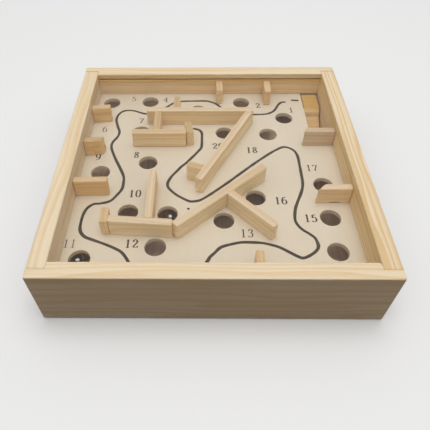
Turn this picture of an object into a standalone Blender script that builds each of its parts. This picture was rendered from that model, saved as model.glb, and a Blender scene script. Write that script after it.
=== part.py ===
"""Wooden maze game: a square tray whose play board, with its twenty numbered holes, is raised over a hollow.

A steel ball rolls on the board between glued wall strips. One that drops through a hole lands on the base
panel, rolls below the board to the back right corner and climbs the return ramp to the board again. A clear
cover in a groove near the rails' top keeps the balls in.

Metres, +X to the right, +Y to the back, +Z up, with the origin at the centre of the underside.
"""

from collections import namedtuple
from math import cos, radians, sin

import bmesh
import bpy
from mathutils import Matrix, Vector

# Outside of the box, and its rails. Each rail's height is that of all that is stacked inside it.
BOX_WIDTH = 0.114
BOX_DEPTH = 0.114
RAIL_THICKNESS = 0.006
LAP_THICKNESS = 0.0034  # outer part of the front and back rails, which covers the side rails' ends
GROOVE_DEPTH = 0.002
LIP_HEIGHT = 0.0021  # front and back rails above the cover's groove

# Panels, from the bottom up
BASE_THICKNESS = 0.003
BOARD_THICKNESS = 0.002
COVER_THICKNESS = 0.0005

# Balls, and the room that they need
BALL_DIAMETER = 0.006
BALL_HEADROOM = 0.003  # above a ball that lies on the base panel
HOLE_CLEARANCE = 0.0014  # added to the ball's diameter
SLOT_CLEARANCE = 0.002  # added to the ball's diameter, at the return ramp

# Wall strips on the board
STRIP_THICKNESS = 0.0028
STRIP_HEIGHT = 0.0071
STRIP_HEADROOM = 0.0004  # between the strips and the cover
END_STOP_LENGTH = 0.0064
END_STOP_FRONT_PART = 0.002  # how far the end stop reaches in front of the corner that it stands against
END_STOP_DEGREES = 100

# Return ramp
RAMP_LENGTH = 0.0244
RAMP_SIDE_GAP = 0.0007  # to the right rail
RAMP_BACK_GAP = 0.0006  # to the back rail
RAMP_CORNER_CUT = 0.001
SLOT_LAND = 0.0005  # board left between the slot and the stub in front of it

# Clearances
FIT_GAP = 0.0003  # between pieces that touch
OVERRUN = 0.002  # how far a cut runs past the faces that it goes through

# Roundness
HOLE_SIDES = 24
BALL_SEGMENTS = 20
BALL_RINGS = 12

# Levels above the table
base_top = BASE_THICKNESS
board_bottom = base_top + FIT_GAP + BALL_DIAMETER + BALL_HEADROOM
board_top = board_bottom + BOARD_THICKNESS
strip_bottom = board_top + FIT_GAP
cover_bottom = strip_bottom + STRIP_HEIGHT + STRIP_HEADROOM
cover_top = cover_bottom + COVER_THICKNESS
rail_top = cover_top + FIT_GAP + LIP_HEIGHT

# Half sizes across the box: between the rails' inner faces, of a grooved panel, and of the base panel
half_opening = Vector((BOX_WIDTH / 2 - RAIL_THICKNESS, BOX_DEPTH / 2 - RAIL_THICKNESS))
half_panel = half_opening + (GROOVE_DEPTH - FIT_GAP) * Vector((1, 1))
half_base = Vector((BOX_WIDTH / 2, BOX_DEPTH / 2)) - (LAP_THICKNESS + FIT_GAP) * Vector((1, 1))

# Centres of the holes, by number, as shares of the half opening
HOLE_PLACE_SHARES = {
    1: (0.649, 0.643),
    2: (0.290, 0.867),
    3: (-0.100, 0.753),
    4: (-0.533, 0.882),
    5: (-0.882, 0.865),
    6: (-0.926, 0.256),
    7: (-0.582, 0.457),
    8: (-0.492, 0.080),
    9: (-0.855, -0.031),
    10: (-0.596, -0.435),
    11: (-0.875, -0.841),
    12: (-0.380, -0.741),
    13: (0.088, -0.510),
    14: (0.837, -0.776),
    15: (0.841, -0.484),
    16: (0.329, -0.294),
    17: (0.847, -0.163),
    18: (0.490, 0.424),
    19: (-0.312, -0.451),
    20: (0.124, 0.443),
}

# Centre lines of the wall strips, from start to end, as shares of the half opening
STRIP_PLACE_SHARES = {
    "long_back_wall": ((-0.527, 0.580), (0.363, 0.580)),
    "long_diagonal_wall": ((-0.089, -0.237), (0.331, 0.553)),
    "short_link_wall": ((-0.432, 0.320), (-0.432, 0.553)),
    "left_inner_wall": ((-0.622, 0.292), (-0.198, 0.292)),
    "diagonal_side_stub": ((-0.169, -0.080), (-0.063, -0.120)),
    "back_middle_tab": ((0.092, 0.851), (0.092, 1)),
    "back_right_tab": ((0.516, 0.835), (0.516, 1)),
    "long_back_wall_stub": ((-0.280, 0.608), (-0.280, 0.755)),
    "left_back_stub": ((-1, 0.606), (-0.849, 0.622)),
    "left_middle_stub_outer": ((-1, 0.188), (-0.929, 0.193)),
    "left_middle_stub_inner": ((-0.924, 0.193), (-0.857, 0.198)),
    "left_front_stub": ((-1, -0.251), (-0.757, -0.245)),
    "middle_left_wall": ((-0.427, -0.618), (-0.427, -0.155)),
    "front_left_wall": ((-0.702, -0.608), (-0.278, -0.640)),
    "front_left_end_wall": ((-0.727, -0.635), (-0.727, -0.516)),
    "front_diagonal_wall": ((-0.245, -0.657), (0.394, -0.102)),
    "front_diagonal_branch": ((0.121, -0.356), (0.418, -0.665)),
    "right_back_stub": ((0.765, 0.306), (1, 0.306)),
    "right_front_stub": ((0.786, -0.320), (1, -0.320)),
    "front_tab": ((0.297, -1), (0.297, -0.871)),
}

# Which end of a strip stands against which face of a neighbour. Left and right are as seen along the neighbour.
STRIP_SEATS = (
    ("long_diagonal_wall", "end", "long_back_wall", "right"),
    ("short_link_wall", "start", "left_inner_wall", "left"),
    ("short_link_wall", "end", "long_back_wall", "right"),
    ("diagonal_side_stub", "end", "long_diagonal_wall", "left"),
    ("back_middle_tab", "end", "back_rail", "inside"),
    ("back_right_tab", "end", "back_rail", "inside"),
    ("long_back_wall_stub", "start", "long_back_wall", "left"),
    ("left_back_stub", "start", "left_rail", "inside"),
    ("left_middle_stub_outer", "start", "left_rail", "inside"),
    ("left_middle_stub_inner", "start", "left_middle_stub_outer", "end"),
    ("left_front_stub", "start", "left_rail", "inside"),
    ("middle_left_wall", "start", "front_left_wall", "left"),
    ("front_left_wall", "start", "front_left_end_wall", "right"),
    ("front_diagonal_branch", "start", "front_diagonal_wall", "right"),
    ("right_back_stub", "end", "right_rail", "inside"),
    ("right_front_stub", "end", "right_rail", "inside"),
    ("front_tab", "start", "front_rail", "inside"),
)

# Which ends are sawn at a slant, and in which direction
SLANTED_ENDS_DEGREES = (
    ("left_middle_stub_inner", "end", 70),
    ("right_back_stub", "start", 69),
    ("right_front_stub", "start", 41),
)

# The ramp's profile, with its level landing at the back and a rough step below it, as shares of its length and height
RAMP_PROFILE_SHARES = ((0, 1), (0.389, 1), (0.451, 0.845), (0.471, 0.655), (0.488, 0.62), (1, 0.04), (1, 0), (0, 0))

# Where the balls lie: the first one's place, and the second one's along the left rail
FIRST_BALL_PLACE_SHARES = (-0.302, -0.353)
SECOND_BALL_DEPTH_SHARE = -0.745

Finish = namedtuple("Finish", "colour roughness metallic alpha")
PALE_PINE = Finish((0.672, 0.515, 0.305), 0.6, 0, 1)
PRINTED_BOARD = Finish((0.658, 0.558, 0.423), 0.5, 0, 1)
PALE_STRIP = Finish((0.610, 0.456, 0.262), 0.65, 0, 1)
TAN_STRIP = Finish((0.479, 0.296, 0.138), 0.65, 0, 1)
GREY_STRIP = Finish((0.429, 0.352, 0.254), 0.7, 0, 1)
RAMP_WOOD = Finish((0.515, 0.328, 0.114), 0.65, 0, 1)
POLISHED_STEEL = Finish((0.560, 0.570, 0.580), 0.15, 1, 1)
CLEAR_PLASTIC = Finish((0.940, 0.950, 0.950), 0.08, 0, 0.2)

TAN_STRIPS = (
    "left_back_stub",
    "left_middle_stub_outer",
    "left_middle_stub_inner",
    "left_front_stub",
    "front_left_wall",
    "front_diagonal_wall",
    "front_diagonal_branch",
)


def clear_scene():
    for old in list(bpy.data.objects):
        bpy.data.objects.remove(old)


def add_root():
    root = bpy.data.objects.new("maze_game", None)
    bpy.context.scene.collection.objects.link(root)
    return root


def make_material(name, finish):
    material = bpy.data.materials.new(name)
    material.use_nodes = True
    shader = material.node_tree.nodes["Principled BSDF"]
    shader.inputs["Base Color"].default_value = (*finish.colour, 1)
    shader.inputs["Roughness"].default_value = finish.roughness
    shader.inputs["Metallic"].default_value = finish.metallic
    shader.inputs["Alpha"].default_value = finish.alpha
    return material


def add_piece(name, shape, finish, root, location=(0, 0, 0), turn_degrees=0):
    """An object of its own from a finished bmesh, which it frees."""
    bmesh.ops.recalc_face_normals(shape, faces=shape.faces)
    mesh = bpy.data.meshes.new(name)
    shape.to_mesh(mesh)
    shape.free()
    mesh.materials.append(make_material(name, finish))
    piece = bpy.data.objects.new(name, mesh)
    piece.location = location
    piece.rotation_euler.z = radians(turn_degrees)
    piece.parent = root
    bpy.context.scene.collection.objects.link(piece)
    return piece


def cut_away(piece, name, cutter_shape):
    """Cuts a bmesh, given in the piece's own space, out of the piece."""
    bmesh.ops.recalc_face_normals(cutter_shape, faces=cutter_shape.faces)
    mesh = bpy.data.meshes.new(name)
    cutter_shape.to_mesh(mesh)
    cutter_shape.free()
    cutter = bpy.data.objects.new(name, mesh)
    cutter.parent = piece
    cutter.hide_render = True
    cutter.display_type = "WIRE"
    bpy.context.scene.collection.objects.link(cutter)
    cut = piece.modifiers.new(name, "BOOLEAN")
    cut.operation = "DIFFERENCE"
    cut.solver = "EXACT"
    cut.object = cutter


def extruded(outline, along):
    """A closed bmesh: the outline's points as one face, swept along a vector."""
    shape = bmesh.new()
    face = shape.faces.new([shape.verts.new(point) for point in outline])
    swept = bmesh.ops.extrude_face_region(shape, geom=[face])["geom"]
    far_corners = [item for item in swept if isinstance(item, bmesh.types.BMVert)]
    bmesh.ops.translate(shape, verts=far_corners, vec=along)
    return shape


def add_box(shape, low, high):
    """Adds a block between two opposite corners to a bmesh."""
    low, high = Vector(low), Vector(high)
    place = Matrix.Translation((low + high) / 2) @ Matrix.Diagonal((*(high - low), 1))
    bmesh.ops.create_cube(shape, size=1, matrix=place)


class Line:
    """A straight line across the board, seen from above."""

    def __init__(self, point, direction):
        self.point = Vector(point)
        self.direction = Vector(direction).normalized()
        self.normal = Vector((-self.direction.y, self.direction.x))  # to its left

    def shifted(self, distance):
        """The parallel line this far to its left."""
        return Line(self.point + distance * self.normal, self.direction)

    def shifted_towards(self, place, distance):
        """The parallel line this far to the side on which the place lies."""
        side = (place - self.point).dot(self.normal)
        return self.shifted(distance if side > 0 else -distance)

    def crossing(self, other):
        """The point where two lines cross."""
        along = (other.point - self.point).dot(other.normal) / self.direction.dot(other.normal)
        return self.point + along * self.direction


class RailFace:
    """The inner face of a rail, which a strip can end against."""

    def __init__(self, point, direction):
        self.inside = Line(point, direction)


class Strip:
    """A wall strip's outline seen from above: its two long faces and its two ends."""

    def __init__(self, start, end):
        centre = Line(start, end - start)
        self.middle = (start + end) / 2
        self.left = centre.shifted(STRIP_THICKNESS / 2)
        self.right = centre.shifted(-STRIP_THICKNESS / 2)
        self.start = Line(start, centre.normal)
        self.end = Line(end, centre.normal)

    def outline(self):
        """Its four corners, counted from its middle."""
        sides = ((self.right, self.start), (self.right, self.end), (self.left, self.end), (self.left, self.start))
        return [(face.crossing(end) - self.middle).to_3d() for face, end in sides]


def on_board(shares):
    """The place at these shares of the half opening."""
    return half_opening * Vector(shares)


def direction_at(degrees):
    return Vector((cos(radians(degrees)), sin(radians(degrees))))


def end_stop_strip(neighbour):
    """The leaning strip whose left face passes the neighbour's back right corner."""
    corner = neighbour.left.crossing(neighbour.end)
    left_face = Line(corner, direction_at(END_STOP_DEGREES)).shifted(-FIT_GAP)
    centre = left_face.shifted(-STRIP_THICKNESS / 2)
    start = centre.point - END_STOP_FRONT_PART * centre.direction
    return Strip(start, start + END_STOP_LENGTH * centre.direction)


def lay_out_strips():
    """All the strips by name, with the ends that meet a neighbour cut to it."""
    strips = {name: Strip(on_board(start), on_board(end)) for name, (start, end) in STRIP_PLACE_SHARES.items()}
    rails = {
        "left_rail": RailFace(on_board((-1, 0)), (0, 1)),
        "right_rail": RailFace(on_board((1, 0)), (0, 1)),
        "front_rail": RailFace(on_board((0, -1)), (1, 0)),
        "back_rail": RailFace(on_board((0, 1)), (1, 0)),
    }
    for name, end, degrees in SLANTED_ENDS_DEGREES:
        square_end = getattr(strips[name], end)
        setattr(strips[name], end, Line(square_end.point, direction_at(degrees)))
    neighbours = {**strips, **rails}
    for name, end, neighbour, face in STRIP_SEATS:
        seat = getattr(neighbours[neighbour], face)
        setattr(strips[name], end, seat.shifted_towards(strips[name].middle, FIT_GAP))

    # The front left wall's right end is square, just clear of the front diagonal's nearest corner
    wall, diagonal = strips["front_left_wall"], strips["front_diagonal_wall"]
    corner = diagonal.left.crossing(diagonal.start)
    wall.end = Line(corner, wall.end.direction).shifted_towards(wall.middle, FIT_GAP)

    strips["end_stop_wall"] = end_stop_strip(strips["left_inner_wall"])
    return strips


def rail_shape(length, grooves):
    """A rail with its base rabbet and a groove for each pair of levels, outer face at y = 0 and centred in x."""
    groove_floor = RAIL_THICKNESS - GROOVE_DEPTH
    profile = [(0, 0), (LAP_THICKNESS, 0), (LAP_THICKNESS, base_top + FIT_GAP), (RAIL_THICKNESS, base_top + FIT_GAP)]
    for bottom, top in grooves:
        profile += [(RAIL_THICKNESS, bottom - FIT_GAP), (groove_floor, bottom - FIT_GAP)]
        profile += [(groove_floor, top + FIT_GAP), (RAIL_THICKNESS, top + FIT_GAP)]
    profile += [(RAIL_THICKNESS, rail_top), (0, rail_top)]
    return extruded([(-length / 2, depth, level) for depth, level in profile], (length, 0, 0))


def add_side_rails(root):
    """The left and right rails, grooved for the board alone, which stop at the front and back rails' laps."""
    length = BOX_DEPTH - 2 * (LAP_THICKNESS + FIT_GAP)
    grooves = [(board_bottom, board_top)]
    add_piece("left_rail", rail_shape(length, grooves), PALE_PINE, root, (-BOX_WIDTH / 2, 0, 0), -90)
    add_piece("right_rail", rail_shape(length, grooves), PALE_PINE, root, (BOX_WIDTH / 2, 0, 0), 90)


def add_lapped_rail(name, root, location, turn_degrees):
    """A front or back rail: its outer part runs the full width, its inner part stops between the side rails."""
    grooves = [(board_bottom, board_top), (cover_bottom, cover_top)]
    rail = add_piece(name, rail_shape(BOX_WIDTH, grooves), PALE_PINE, root, location, turn_degrees)
    inner_end = half_opening.x - FIT_GAP
    outer_end = BOX_WIDTH / 2 + OVERRUN
    shape = bmesh.new()
    for low_x, high_x in ((-outer_end, -inner_end), (inner_end, outer_end)):
        low = (low_x, LAP_THICKNESS, -OVERRUN)
        high = (high_x, RAIL_THICKNESS + OVERRUN, rail_top + OVERRUN)
        add_box(shape, low, high)
    cut_away(rail, name + "_end_cuts", shape)


def add_base_panel(root):
    shape = bmesh.new()
    add_box(shape, (*-half_base, 0), (*half_base, base_top))
    add_piece("base_panel", shape, PALE_PINE, root)


def add_clear_cover(root):
    """The cover, which reaches into the front and back rails' grooves and stops short of the side rails."""
    half_width = half_opening.x - FIT_GAP
    shape = bmesh.new()
    add_box(shape, (-half_width, -half_panel.y, 0), (half_width, half_panel.y, COVER_THICKNESS))
    add_piece("clear_cover", shape, CLEAR_PLASTIC, root, (0, 0, cover_bottom))


def slot_edges(strips):
    """Where the board's corner slot begins: its left edge in x and its front edge in y."""
    left = half_opening.x - BALL_DIAMETER - SLOT_CLEARANCE
    front = strips["right_back_stub"].left.point.y + SLOT_LAND
    return left, front


def add_play_board(root, strips):
    """The board, cut away at the back right corner and drilled with the numbered holes."""
    slot_left, slot_front = slot_edges(strips)
    outline = [
        (-half_panel.x, -half_panel.y, 0),
        (half_panel.x, -half_panel.y, 0),
        (half_panel.x, slot_front, 0),
        (slot_left, slot_front, 0),
        (slot_left, half_panel.y, 0),
        (-half_panel.x, half_panel.y, 0),
    ]
    shape = extruded(outline, (0, 0, BOARD_THICKNESS))
    board = add_piece("play_board", shape, PRINTED_BOARD, root, (0, 0, board_bottom))
    hole_radius = (BALL_DIAMETER + HOLE_CLEARANCE) / 2
    drills = bmesh.new()
    for shares in HOLE_PLACE_SHARES.values():
        centre = on_board(shares).to_3d() + Vector((0, 0, BOARD_THICKNESS / 2))
        bmesh.ops.create_cone(
            drills,
            cap_ends=True,
            segments=HOLE_SIDES,
            radius1=hole_radius,
            radius2=hole_radius,
            depth=BOARD_THICKNESS + 2 * OVERRUN,
            matrix=Matrix.Translation(centre),
        )
    cut_away(board, "play_board_holes", drills)


def add_return_ramp(root, strips):
    """The sloping block in the corner slot, from the base panel up to the board's upper face."""
    slot_left, _ = slot_edges(strips)
    left = slot_left + FIT_GAP
    right = half_opening.x - RAMP_SIDE_GAP
    back = half_opening.y - RAMP_BACK_GAP
    bottom = base_top + FIT_GAP
    height = board_top - bottom
    profile = [(0, -along * RAMP_LENGTH, up * height) for along, up in RAMP_PROFILE_SHARES]
    shape = extruded(profile, (right - left, 0, 0))

    # The upright edge at the back right corner is pared away
    def is_corner_edge(edge):
        return all(vert.co.x > (right - left) / 2 and vert.co.y > -RAMP_LENGTH / 2 for vert in edge.verts)

    upright = [edge for edge in shape.edges if is_corner_edge(edge) and edge.verts[0].co.y == edge.verts[1].co.y]
    bmesh.ops.bevel(shape, geom=upright, offset=RAMP_CORNER_CUT, segments=1, affect="EDGES")
    add_piece("return_ramp", shape, RAMP_WOOD, root, (left, back, bottom))


def add_strips(root, strips):
    """One slat per wall strip, standing on the board."""
    for name, strip in strips.items():
        shape = extruded(strip.outline(), (0, 0, STRIP_HEIGHT))
        finish = TAN_STRIP if name in TAN_STRIPS else PALE_STRIP
        if name == "right_back_stub":
            finish = GREY_STRIP
        add_piece(name, shape, finish, root, (*strip.middle, strip_bottom))


def add_ball(name, root, place):
    """A ball on the base panel, with its origin at its centre."""
    shape = bmesh.new()
    bmesh.ops.create_uvsphere(shape, u_segments=BALL_SEGMENTS, v_segments=BALL_RINGS, radius=BALL_DIAMETER / 2)
    ball = add_piece(name, shape, POLISHED_STEEL, root, (*place, base_top + FIT_GAP + BALL_DIAMETER / 2))
    ball.data.shade_smooth()


def add_balls(root):
    """The two balls that have dropped through: one below hole 19, one against the left rail."""
    add_ball("first_steel_ball", root, on_board(FIRST_BALL_PLACE_SHARES))
    beside_rail = FIT_GAP + BALL_DIAMETER / 2 - half_opening.x
    add_ball("second_steel_ball", root, (beside_rail, SECOND_BALL_DEPTH_SHARE * half_opening.y))


def build():
    clear_scene()
    root = add_root()
    strips = lay_out_strips()
    add_lapped_rail("front_rail", root, (0, -BOX_DEPTH / 2, 0), 0)
    add_lapped_rail("back_rail", root, (0, BOX_DEPTH / 2, 0), 180)
    add_side_rails(root)
    add_base_panel(root)
    add_play_board(root, strips)
    add_clear_cover(root)
    add_return_ramp(root, strips)
    add_strips(root, strips)
    add_balls(root)


build()
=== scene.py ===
"""Looks of the wooden maze game: pine tray, printed play board, glued wall strips, steel balls, clear cover.

Metres, +X to the right, +Y to the back and +Z up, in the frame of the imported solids.
"""

from math import cos, pi, radians, sin

import bmesh
import bpy
import numpy as np
from mathutils import Matrix, Vector


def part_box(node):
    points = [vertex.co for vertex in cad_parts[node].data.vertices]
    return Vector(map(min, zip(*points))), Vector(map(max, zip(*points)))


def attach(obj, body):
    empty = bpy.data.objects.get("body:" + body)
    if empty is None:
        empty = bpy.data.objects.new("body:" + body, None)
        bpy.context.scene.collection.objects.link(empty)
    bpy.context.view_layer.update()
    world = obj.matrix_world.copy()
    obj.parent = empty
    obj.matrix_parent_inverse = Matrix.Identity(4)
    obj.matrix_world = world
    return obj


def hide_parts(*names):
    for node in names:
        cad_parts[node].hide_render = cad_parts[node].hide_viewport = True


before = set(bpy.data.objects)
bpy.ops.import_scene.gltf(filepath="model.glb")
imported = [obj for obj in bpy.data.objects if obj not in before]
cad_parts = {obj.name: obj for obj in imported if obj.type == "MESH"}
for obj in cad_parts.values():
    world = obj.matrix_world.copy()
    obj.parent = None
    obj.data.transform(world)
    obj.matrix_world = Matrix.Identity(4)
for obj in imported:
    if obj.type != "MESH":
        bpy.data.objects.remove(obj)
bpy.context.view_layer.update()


# The front and back rails: planed pine, 6 mm thick, glued at the joints. Their outer part laps over the
# side rails' ends, and their inner part, cut back to a shoulder at each end, stops between them. Grooves
# inside hold the play board and the clear cover, and a rabbet at the foot holds the base panel.
MILLIMETRE = 0.001
FIT_GAP = 0.0003  # between neighbouring solids of the frame
JOINT_CLOSING = 0.00024  # how much of that gap a glued joint or a snug groove takes up
RAIL_ARRIS = 0.0005
RAIL_STEP = 0.0015
RAIL_UNEVENNESS = 0.00001
SHOULDER_WEAR = 0.0014  # rounding of the front rail's right shoulder
WANDER_WAVELENGTHS = (0.011, 0.007, 0.004)
WOOD_RELIEF = 0.00006
MERGE_DISTANCE = 1e-7
SHARP_DEGREES = 38
RAIL_TOP_COLOUR = (0.77, 0.64, 0.45)
# The outer faces are painted darker than the tops of the same pine: painted shade on the rails' outsides.
RAIL_OUTER_PAINTED_SHADE = (0.62, 0.47, 0.30)
# Each rail's heart in mm, across the grain and up, its rings' closeness and its inner face's colour
# The inner colours are warmer than the top's, and on the back and right rails lighter too: painted bounce
# light on faces that the lamp reaches less.
RAIL_LOOKS = {
    "front_rail": ((-104, 34), 1.0, (0.77, 0.62, 0.42)),
    "back_rail": ((20, 52), 1.0, (0.84, 0.62, 0.33)),
    "right_rail": ((-16, 66), 1.35, (0.88, 0.70, 0.40)),
    "left_rail": ((110, 10), 0.7, (0.77, 0.63, 0.43)),
}

outer_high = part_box("back_rail")[1]
opening_high = Vector((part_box("right_rail")[0].x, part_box("back_rail")[0].y))
base_low, base_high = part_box("base_panel")
board_low, board_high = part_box("play_board")
cover_low, cover_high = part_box("clear_cover")
rail_thickness = outer_high.y - opening_high.y
groove_floor = outer_high.y - board_high.y - FIT_GAP
side_rail_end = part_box("right_rail")[1].y
lap_thickness = outer_high.y - side_rail_end - FIT_GAP


class Signal:
    """A shader socket in a Python expression: each operator adds its Math node."""

    def __init__(self, finish, socket):
        self.finish = finish
        self.socket = socket

    def math(self, operation, *values):
        return self.finish.node("ShaderNodeMath", {"operation": operation}, dict(enumerate(values)))

    def __add__(self, other):
        return self.math("ADD", self, other)

    def __sub__(self, other):
        return self.math("SUBTRACT", self, other)

    def __rsub__(self, other):
        return self.math("SUBTRACT", other, self)

    def __mul__(self, other):
        return self.math("MULTIPLY", self, other)

    def __truediv__(self, other):
        return self.math("DIVIDE", self, other)

    def __pow__(self, other):
        return self.math("POWER", self, other)

    __radd__ = __add__
    __rmul__ = __mul__

    def step(self, low, high):
        """Rises smoothly from 0 at low to 1 at high."""
        sockets = {0: self, 1: low, 2: high}
        return self.finish.node("ShaderNodeMapRange", {"interpolation_type": "SMOOTHSTEP"}, sockets)


class Finish:
    """The nodes of a material, or of the world, with its one shader."""

    def __init__(self, owner, **sockets):
        owner.use_nodes = True
        self.owner = owner
        self.tree = owner.node_tree
        self.shader = next(node for node in self.tree.nodes if node.type in ("BSDF_PRINCIPLED", "BACKGROUND"))
        self.output = next(node for node in self.tree.nodes if node.type.startswith("OUTPUT"))
        for name, value in sockets.items():
            self.set(name.replace("_", " "), value)

    def feed(self, socket, value):
        """Links a value to a socket, or sets it there when it is plain."""
        if isinstance(value, Signal):
            self.tree.links.new(value.socket, socket)
        else:
            socket.default_value = value

    def set(self, name, value):
        self.feed(self.shader.inputs[name], value)

    def node(self, kind, settings=None, sockets=None, output=0):
        """One node of this type: its settings first, then its sockets' values or links. Gives one output."""
        node = self.tree.nodes.new(kind)
        for name, value in (settings or {}).items():
            setattr(node, name, value)
        for name, value in (sockets or {}).items():
            self.feed(node.inputs[name], value)
        return Signal(self, node.outputs[output])

    def scaled(self, place, scale):
        """A place with each of its three coordinates multiplied."""
        return self.node("ShaderNodeVectorMath", {"operation": "MULTIPLY"}, {0: place, 1: scale})

    def noise(self, place, scale, detail=2.0):
        """Cloudy noise from 0 to 1, at a place whose coordinates are multiplied first."""
        sockets = {"Vector": self.scaled(place, scale), "Scale": 1.0, "Detail": detail}
        return self.node("ShaderNodeTexNoise", None, sockets)

    def mixed(self, share, first, second):
        """The colour that lies this share of the way from the first colour to the second."""
        return self.node("ShaderNodeMix", {"data_type": "RGBA"}, {0: share, 6: first, 7: second}, output=2)

    def relief(self, height, depth):
        """Feeds a Bump node whose relief is this deep, in metres."""
        sockets = {"Strength": 1.0, "Distance": depth, "Height": height}
        self.set("Normal", self.node("ShaderNodeBump", None, sockets))


def wood(name, ring_width, ring_share, fibre_share):
    """Sawn softwood, from each point's place in its log and its given colour, which on some faces holds
    painted light or shade.

    The grain attribute is that place in millimetres: along the grain, then across it from the heart. A
    point's distance from the heart, bent by slow noise, over the rings' width tells how far through a ring
    it lies. The wood darkens slowly through the ring and falls back at its end. Fine noise drawn out along
    the grain gives the fibres, and another, finer one the short dark resin lines.
    """
    finish = Finish(bpy.data.materials.new(name))
    place = finish.node("ShaderNodeAttribute", {"attribute_name": "grain"}, output="Vector")
    plain = finish.node("ShaderNodeAttribute", {"attribute_name": "tone_and_painted_light"}, output="Vector")
    across = finish.scaled(place, (0, 1, 1))
    heart_distance = finish.node("ShaderNodeVectorMath", {"operation": "LENGTH"}, {0: across}, output="Value")
    bend = finish.noise(place, (0.018, 0.11, 0.11), 1.0)
    crowding = finish.noise(place, (0.004, 0.35, 0.35), 0.0)
    rings = (heart_distance + (bend - 0.5) * 5.0 + (crowding - 0.5) * 2.2) / ring_width
    through_ring = rings.math("FRACT", rings)
    late_wood = through_ring.step(0.2, 0.9) * (1 - through_ring.step(0.92, 1.0))
    fibres = finish.noise(place, (0.09, 3.2, 3.2), 3.0)
    streaks = finish.noise(place, (0.012, 0.45, 0.45), 2.0)
    resin = finish.noise(place, (0.3, 5.5, 5.5), 1.0).step(0.68, 0.78)
    late = finish.scaled(plain, (0.84, 0.68, 0.46))
    warm = finish.mixed(streaks.step(0.45, 0.75) * 0.4, plain, late)
    ringed = finish.mixed(late_wood * ring_share, warm, late)
    fibrous = finish.mixed((fibres - 0.35) * fibre_share, ringed, finish.scaled(plain, (0.5, 0.4, 0.27)))
    finish.set("Base Color", finish.mixed(resin * 0.3, fibrous, finish.scaled(plain, (0.35, 0.28, 0.18))))
    finish.set("Roughness", 0.62 + (fibres - 0.5) * 0.25)
    finish.relief(fibres * 0.7 + late_wood * 0.3, WOOD_RELIEF)
    return finish.owner


def eased(corners, cut, steps=4):
    """Closed outlines with each corner made a quadratic Bezier arc, from cut before it to cut after it."""
    before = np.roll(corners, 1, axis=-2) - corners
    after = np.roll(corners, -1, axis=-2) - corners
    start = corners + cut[..., None] * before / np.linalg.norm(before, axis=-1, keepdims=True)
    end = corners + cut[..., None] * after / np.linalg.norm(after, axis=-1, keepdims=True)
    share = np.linspace(0, 1, steps)[:, None]
    start, middle, end = start[..., None, :], corners[..., None, :], end[..., None, :]
    arcs = (1 - share) ** 2 * start + 2 * share * (1 - share) * middle + share**2 * end
    return arcs.reshape(*corners.shape[:-2], -1, corners.shape[-1])


def wander(along, seed):
    """A hand-made edge's slow wander, from -1 to 1: three sines, the longest the strongest."""
    turns = np.asarray(along)[..., None] / np.array(WANDER_WAVELENGTHS)
    return np.sin(2 * pi * turns + seed * np.array((1.7, 2.9, 4.3))) @ np.array((0.5, 0.3, 0.2))


def carried(rings):
    """Points and faces of a closed skin through rings: quads between them, and a cap at both ends."""
    stations, count = rings.shape[:2]
    rows = np.arange(stations - 1)[:, None] * count
    first = (rows + np.arange(count)).ravel()
    after = (rows + np.roll(np.arange(count), -1)).ravel()
    quads = np.stack((first, after, after + count, first + count), axis=1).tolist()
    caps = [list(range(count)), list(range((stations - 1) * count, stations * count))]
    return rings.reshape(-1, 3), quads + caps


def make_piece(name, points, faces, material):
    """A piece in place: doubles merged, faces turned outwards, and shaded smooth but for its sharp edges."""
    mesh = bpy.data.meshes.new(name)
    mesh.from_pydata(points, [], faces)
    shape = bmesh.new()
    shape.from_mesh(mesh)
    bmesh.ops.remove_doubles(shape, verts=shape.verts, dist=MERGE_DISTANCE)
    bmesh.ops.dissolve_degenerate(shape, edges=shape.edges, dist=MERGE_DISTANCE)
    bmesh.ops.recalc_face_normals(shape, faces=shape.faces)
    shape.to_mesh(mesh)
    shape.free()
    mesh.shade_smooth()
    mesh.set_sharp_from_angle(angle=radians(SHARP_DEGREES))
    mesh.materials.append(material)
    piece = bpy.data.objects.new(name, mesh)
    bpy.context.scene.collection.objects.link(piece)
    piece.modifiers.new("flat_faces", "WEIGHTED_NORMAL").keep_sharp = True
    return piece


def set_grain(piece, direction, heart, closeness=1.0):
    """Writes each point's place in the log, in mm, and gives back its place in the box.

    The grain is level, and the heart is given across it and up. The closeness multiplies the places across
    the grain, so that the rings lie closer above 1 and wider below it.
    """
    places = np.empty(len(piece.data.vertices) * 3)
    piece.data.vertices.foreach_get("co", places)
    places = places.reshape(-1, 3) / MILLIMETRE
    along = places[:, :2] @ np.array(direction)
    across = places[:, :2] @ np.array((-direction[1], direction[0]))
    grain = np.stack((along, closeness * (across - heart[0]), closeness * (places[:, 2] - heart[1])), axis=1)
    attribute = piece.data.attributes.new("grain", "FLOAT_VECTOR", "POINT")
    attribute.data.foreach_set("vector", grain.ravel())
    return places * MILLIMETRE


def set_colour(piece, colours):
    """Writes each point's colour, painted light or shade included, or the one colour of them all."""
    rows = np.broadcast_to(np.array(colours, np.float32), (len(piece.data.vertices), 3))
    attribute = piece.data.attributes.new("tone_and_painted_light", "FLOAT_VECTOR", "POINT")
    attribute.data.foreach_set("vector", rows.ravel())


def stand_for(piece, node, body="box"):
    """The piece takes the place of a solid of the frame and rides on its body."""
    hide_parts(node)
    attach(piece, body)


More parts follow.
